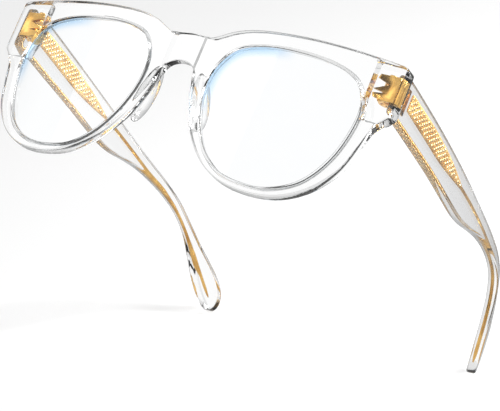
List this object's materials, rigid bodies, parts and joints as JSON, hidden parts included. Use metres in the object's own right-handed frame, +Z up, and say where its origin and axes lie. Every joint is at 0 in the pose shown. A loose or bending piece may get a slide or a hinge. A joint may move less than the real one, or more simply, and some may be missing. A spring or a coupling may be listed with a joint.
{
  "type": "blue light glasses",
  "caption": "Clear acetate spectacles with keyhole bridge, coated blue-light lenses and folding temples that show a patterned gold wire core.",
  "frame": {"origin": "on the table under the middle of the whole object, with the temples open", "axes": "+X across the face towards the wearer's left, +Y back along the temples, +Z up"},
  "size_m": [0.1452, 0.161, 0.0538],
  "materials": {
    "clear_acetate": "polished, water-clear",
    "lens": "polished, blue anti-reflective coating",
    "gold": "polished gold plate",
    "satin_gold": "satin gold plate, embossed lattice"
  },
  "bodies": {
    "front": {"frame_front": "clear_acetate", "lens_left": "lens", "nose_pad_left": "clear_acetate", "front_hinge_leaf_left": "gold", "hinge_screw_left": "gold", "lens_right": "lens", "nose_pad_right": "clear_acetate", "front_hinge_leaf_right": "gold", "hinge_screw_right": "gold"},
    "left_temple": {"temple_left": "clear_acetate", "temple_hinge_leaf_left": "gold", "core_plate_left": "satin_gold", "core_wire_left": "gold"},
    "right_temple": {"temple_right": "clear_acetate", "temple_hinge_leaf_right": "gold", "core_plate_right": "satin_gold", "core_wire_right": "gold"}
  },
  "joints": [
    {"name": "left_temple_fold", "type": "hinge", "parent": "front", "child": "left_temple", "pos_m": [0.065, -0.06377, 0.04419], "axis": [0, 0.06, 0.9982], "range_deg": [0, 88]},
    {"name": "right_temple_fold", "type": "hinge", "parent": "front", "child": "right_temple", "pos_m": [-0.065, -0.06377, 0.04419], "axis": [0, -0.06, -0.9982], "range_deg": [0, 76]}
  ]
}
